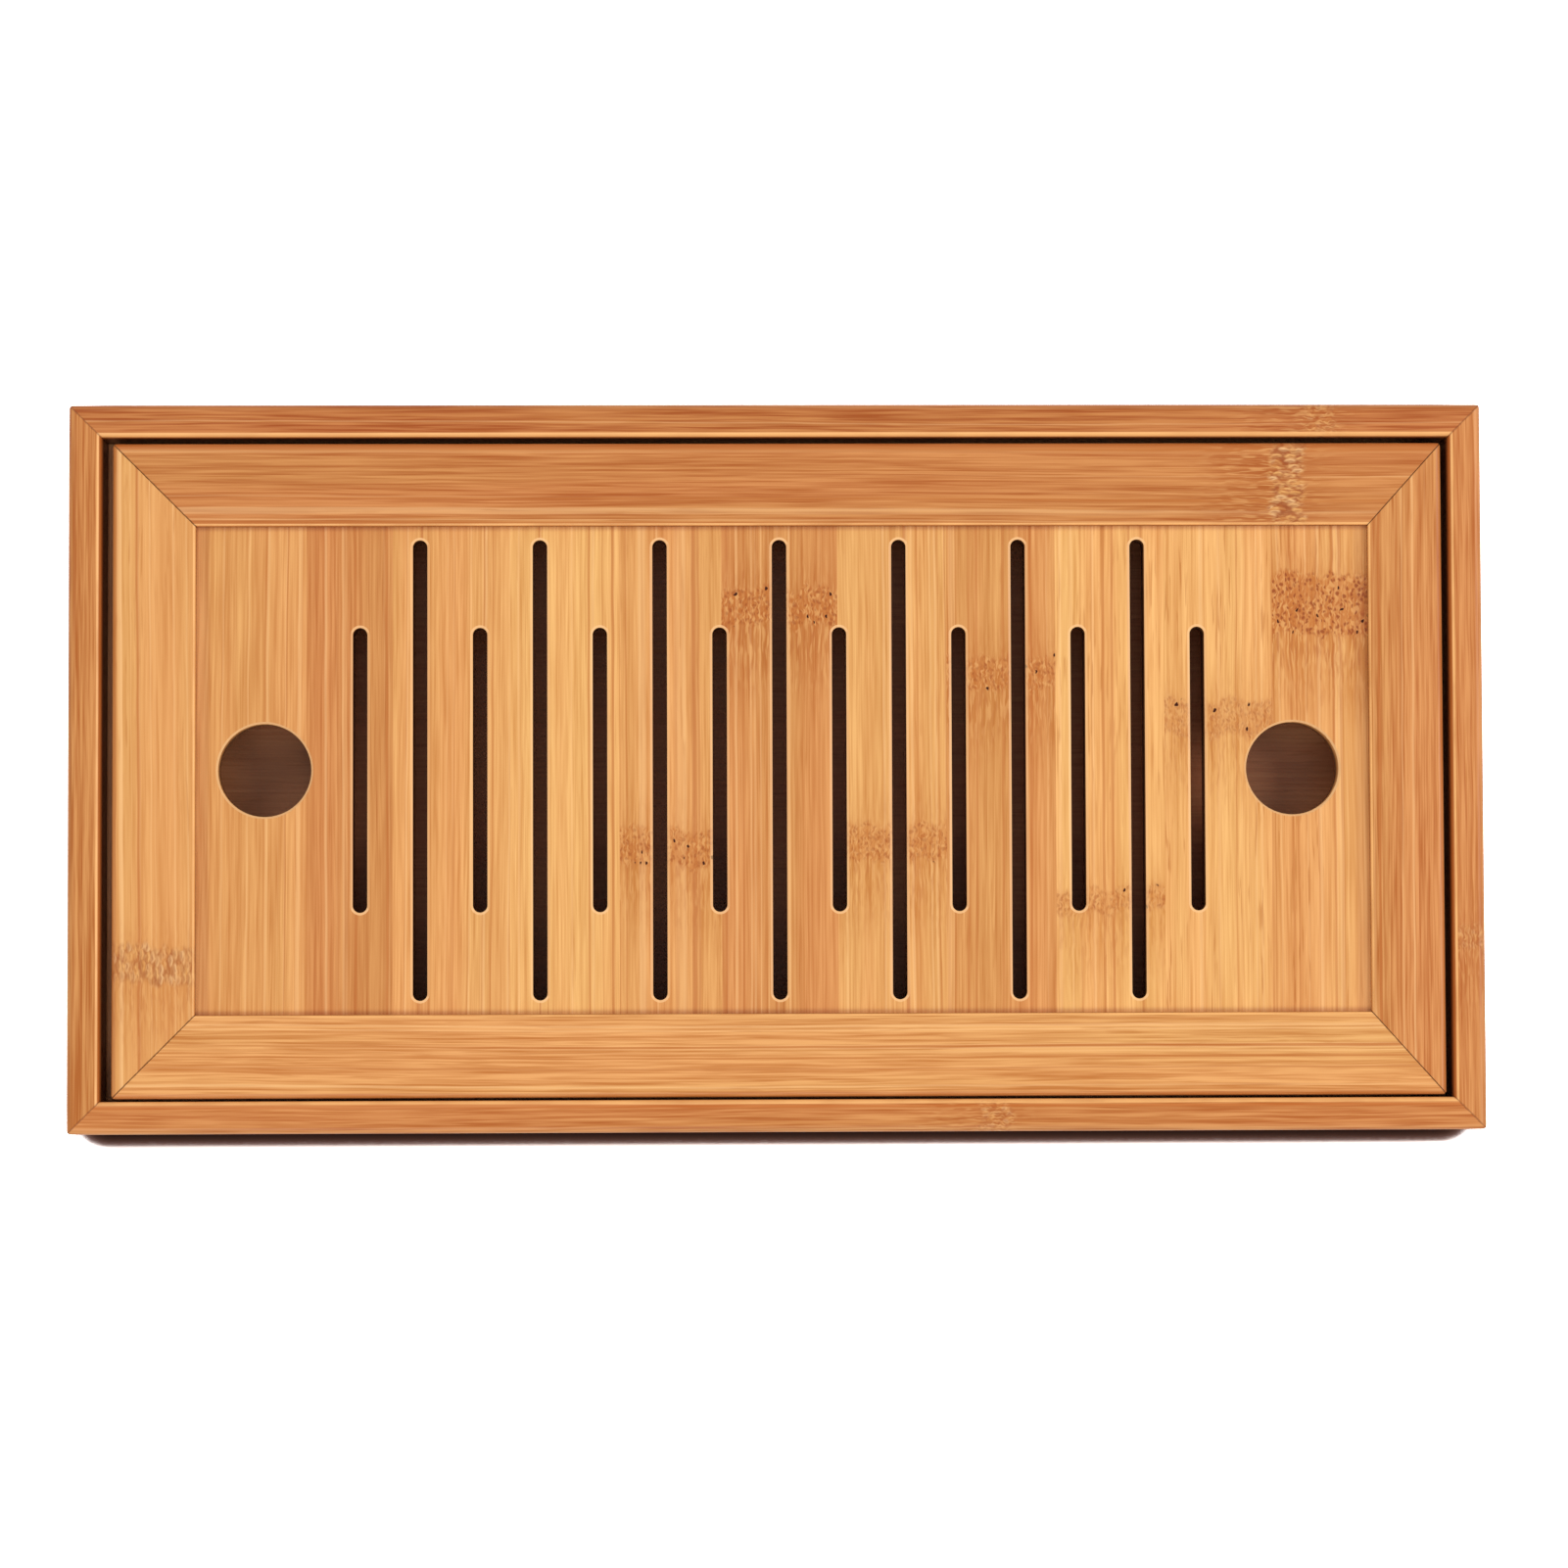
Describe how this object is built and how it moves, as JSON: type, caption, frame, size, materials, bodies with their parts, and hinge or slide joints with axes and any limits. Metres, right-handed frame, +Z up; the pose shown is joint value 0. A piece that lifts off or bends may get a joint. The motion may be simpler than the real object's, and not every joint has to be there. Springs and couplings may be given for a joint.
{
  "type": "gongfu tea tray",
  "caption": "Bamboo tea tray: a shallow mitred water box on rubber feet, with a lift-out framed deck of slotted bamboo strips and a finger hole at each end.",
  "frame": {"origin": "on the table, under the middle of the water box", "axes": "+X along the tray's length, +Y from front to back, +Z up"},
  "size_m": [0.35, 0.18, 0.035],
  "materials": {
    "wall_bamboo": "satin",
    "floor_bamboo": "satin",
    "ledge_bamboo": "satin",
    "foot_rubber": "matte",
    "screw_steel": "satin",
    "rail_bamboo": "satin",
    "key_bamboo": "matte",
    "panel_bamboo": "satin"
  },
  "bodies": {
    "box": {"front_wall": "wall_bamboo", "back_wall": "wall_bamboo", "left_wall": "wall_bamboo", "right_wall": "wall_bamboo", "floor_strip_1": "floor_bamboo", "floor_strip_2": "floor_bamboo", "floor_strip_3": "floor_bamboo", "floor_strip_4": "floor_bamboo", "floor_strip_5": "floor_bamboo", "floor_strip_6": "floor_bamboo", "floor_strip_7": "floor_bamboo", "front_ledge": "ledge_bamboo", "back_ledge": "ledge_bamboo", "left_ledge": "ledge_bamboo", "right_ledge": "ledge_bamboo", "front_left_foot": "foot_rubber", "front_right_foot": "foot_rubber", "back_left_foot": "foot_rubber", "back_right_foot": "foot_rubber", "foot_screws": "screw_steel"},
    "deck": {"deck_front_rail": "rail_bamboo", "deck_back_rail": "rail_bamboo", "deck_left_rail": "rail_bamboo", "deck_right_rail": "rail_bamboo", "front_left_mitre_key": "key_bamboo", "front_right_mitre_key": "key_bamboo", "back_left_mitre_key": "key_bamboo", "back_right_mitre_key": "key_bamboo", "deck_strip_01": "panel_bamboo", "deck_strip_02": "panel_bamboo", "deck_strip_03": "panel_bamboo", "deck_strip_04": "panel_bamboo", "deck_strip_05": "panel_bamboo", "deck_strip_06": "panel_bamboo", "deck_strip_07": "panel_bamboo", "deck_strip_08": "panel_bamboo", "deck_strip_09": "panel_bamboo", "deck_strip_10": "panel_bamboo", "deck_strip_11": "panel_bamboo"}
  },
  "joints": [
    {"name": "deck_lift", "type": "slide", "parent": "box", "child": "deck", "axis": [0, 0, 1], "range_m": [0, 0.06]}
  ]
}
